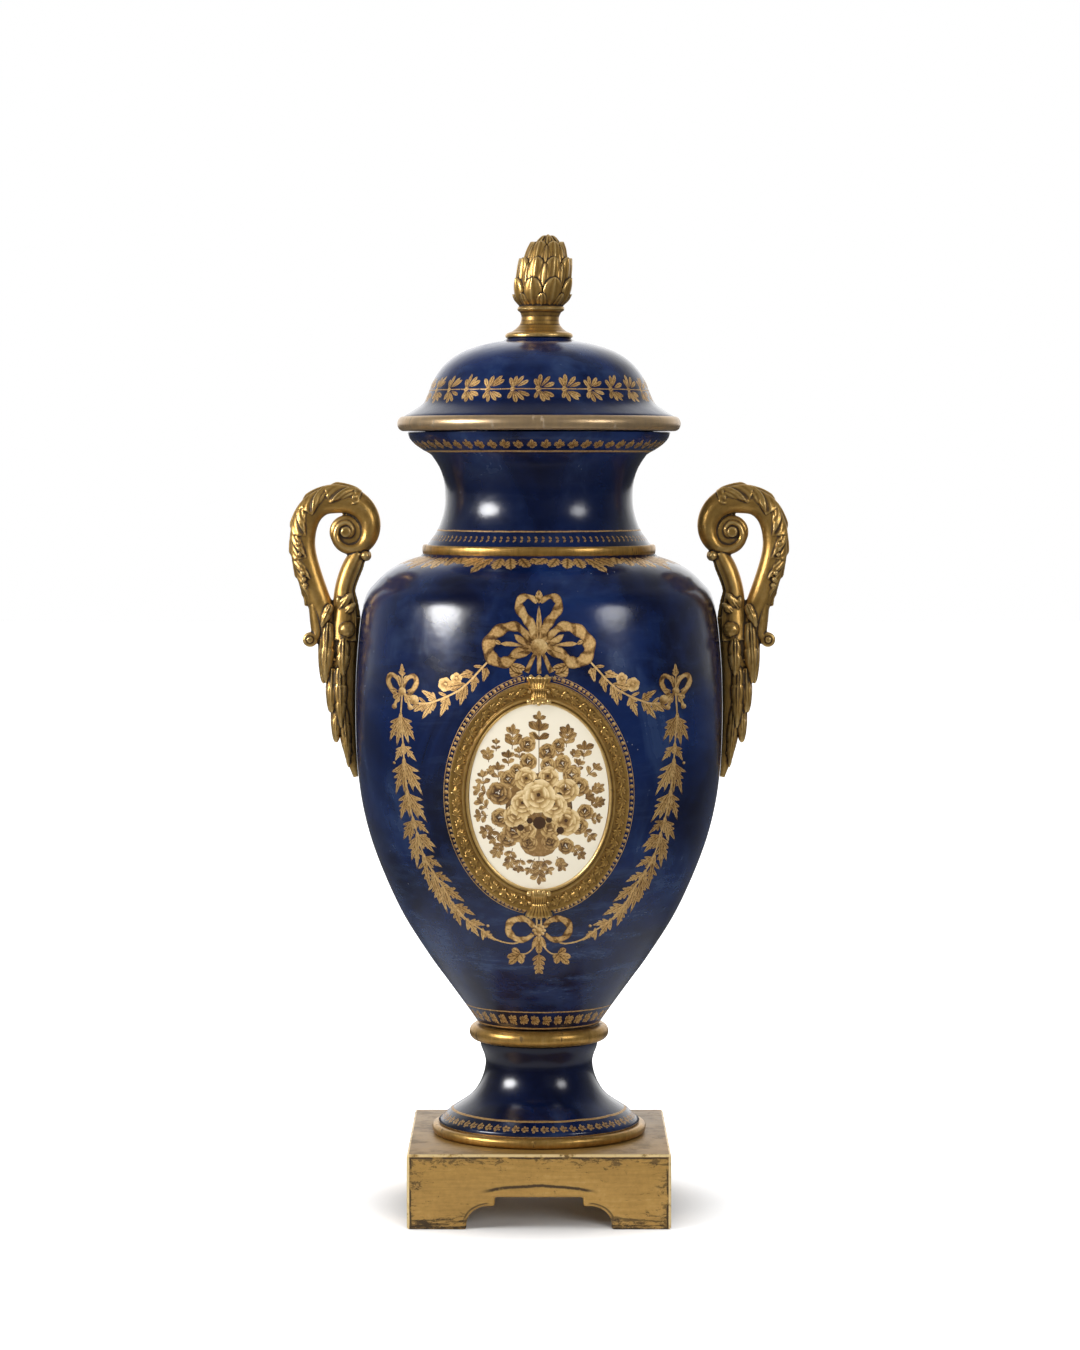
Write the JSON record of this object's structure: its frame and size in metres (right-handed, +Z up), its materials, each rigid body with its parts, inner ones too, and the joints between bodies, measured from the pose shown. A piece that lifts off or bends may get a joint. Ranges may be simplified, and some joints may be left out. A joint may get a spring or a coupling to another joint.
{
  "type": "covered mantel urn",
  "caption": "Covered mantel urn of blue glazed porcelain with gilt bronze scroll handles, framed oval plaque, pine cone finial and square bracket plinth.",
  "frame": {"origin": "centre of the square plinth, at the level of the feet's undersides", "axes": "+Z up along the urn's axis; -Y is the front, with the oval plaque; +X runs from one handle to the other, to the right as seen from the front"},
  "size_m": [0.2534, 0.1884, 0.4878],
  "materials": {
    "cobalt_porcelain": "deep cobalt glaze with painted gilding, worn",
    "gilt_bronze": "aged gilding with dark patina in the recesses",
    "white_porcelain": "cream white glaze with a brown and gold painted bouquet"
  },
  "bodies": {
    "root": {"plinth": "gilt_bronze", "foot": "cobalt_porcelain", "foot_ring": "gilt_bronze", "collar": "gilt_bronze", "body": "cobalt_porcelain", "neck_ring": "gilt_bronze", "lid": "cobalt_porcelain", "lid_rim": "gilt_bronze", "finial": "gilt_bronze", "handle_left": "gilt_bronze", "handle_right": "gilt_bronze", "medallion_frame": "gilt_bronze", "medallion_plaque": "white_porcelain"}
  },
  "joints": []
}
